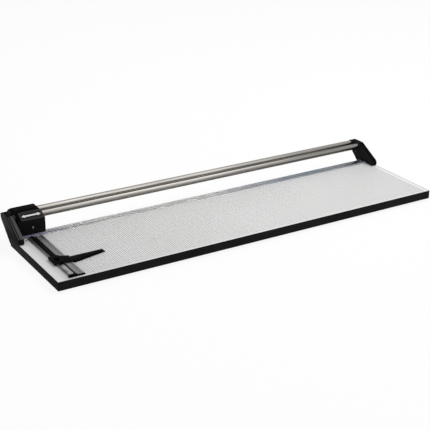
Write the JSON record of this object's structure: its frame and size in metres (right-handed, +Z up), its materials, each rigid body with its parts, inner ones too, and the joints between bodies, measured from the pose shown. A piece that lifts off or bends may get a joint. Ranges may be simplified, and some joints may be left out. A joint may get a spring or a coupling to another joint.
{
  "type": "rotary paper trimmer",
  "caption": "Long rotary paper trimmer: grid board, cutting head sliding on twin steel rails, clear clamp strip, side guide with adjustable stop.",
  "frame": {"origin": "middle of the trimmer's length and depth, on the surface that its feet stand on", "axes": "+X along the rails from the guide's end to the far end, +Y back towards the rails, +Z up"},
  "size_m": [1.25, 0.391, 0.0965],
  "materials": {
    "board": "raw fibreboard",
    "laminate": "satin, printed grid",
    "trim": "fine grain",
    "rubber": "matte",
    "extrusion": "satin",
    "blade_steel": "ground",
    "fastener": "black oxide",
    "cast_frame": "satin",
    "moulding": "satin",
    "rail_steel": "ground and polished",
    "clear_strip": "clear",
    "label": "satin",
    "nylon": "smooth",
    "bronze": "sintered"
  },
  "bodies": {
    "base": {"baseboard": "board", "grid_laminate": "laminate", "front_edge_trim": "trim", "left_edge_trim": "trim", "right_edge_trim": "trim", "foot_front_left": "rubber", "foot_front_right": "rubber", "foot_rear_left": "rubber", "foot_rear_right": "rubber", "blade_bed": "extrusion", "lower_blade": "blade_steel", "lower_blade_screw_1": "fastener", "lower_blade_screw_2": "fastener", "lower_blade_screw_3": "fastener", "lower_blade_screw_4": "fastener", "lower_blade_screw_5": "fastener", "lower_blade_screw_6": "fastener", "left_end_frame": "cast_frame", "right_end_frame": "cast_frame", "left_end_cover": "moulding", "right_end_cover": "moulding", "left_frame_bolt_front": "fastener", "left_frame_bolt_rear": "fastener", "right_frame_bolt_front": "fastener", "right_frame_bolt_rear": "fastener", "front_rail": "rail_steel", "rear_rail": "rail_steel", "left_front_rail_screw": "fastener", "left_rear_rail_screw": "fastener", "right_front_rail_screw": "fastener", "right_rear_rail_screw": "fastener", "left_strip_pin": "rail_steel", "right_strip_pin": "rail_steel", "side_guide": "extrusion", "scale_strip": "rail_steel", "guide_screw_front": "fastener", "guide_screw_rear": "fastener", "guide_end_cap": "moulding", "squaring_screw": "rail_steel"},
    "head": {"head_body": "moulding", "head_cover": "moulding", "head_cover_screw_left": "fastener", "head_cover_screw_right": "fastener", "label_plate": "label", "front_rail_bush_left": "nylon", "front_rail_bush_right": "nylon", "rear_rail_bush_left": "nylon", "rear_rail_bush_right": "nylon", "pressure_shoe": "nylon", "wheel_spindle": "rail_steel", "spindle_nut": "fastener", "wheel_spring": "rail_steel"},
    "wheel": {"cutting_wheel": "blade_steel", "wheel_bush": "bronze"},
    "strip": {"clamp_strip": "clear_strip"},
    "stop": {"slide_bar": "moulding", "stop_block": "moulding", "stop_arm": "moulding"},
    "knob": {"stop_knob": "moulding"}
  },
  "joints": [
    {"name": "head_slide", "type": "slide", "parent": "base", "child": "head", "axis": [1, 0, 0], "range_m": [0, 1.128]},
    {"name": "wheel_spin", "type": "hinge", "parent": "head", "child": "wheel", "pos_m": [-0.5614, 0.1328, 0.0544], "axis": [0, 1, 0], "range_deg": [0, 2590]},
    {"name": "clamp_strip_press", "type": "slide", "parent": "base", "child": "strip", "axis": [0, 0, 1], "range_m": [-0.0013, 0], "stiffness_N_per_m": 2500, "springref_m": 0.001},
    {"name": "stop_slide", "type": "slide", "parent": "base", "child": "stop", "axis": [0, 1, 0], "range_m": [-0.06, 0]},
    {"name": "stop_knob_turn", "type": "hinge", "parent": "stop", "child": "knob", "pos_m": [-0.5757, -0.0805, 0.044], "axis": [0, 0, 1], "range_deg": [0, 360]}
  ],
  "couplings": [
    {"joint": "wheel_spin", "follows": "head_slide", "rad_per_m": 40}
  ]
}
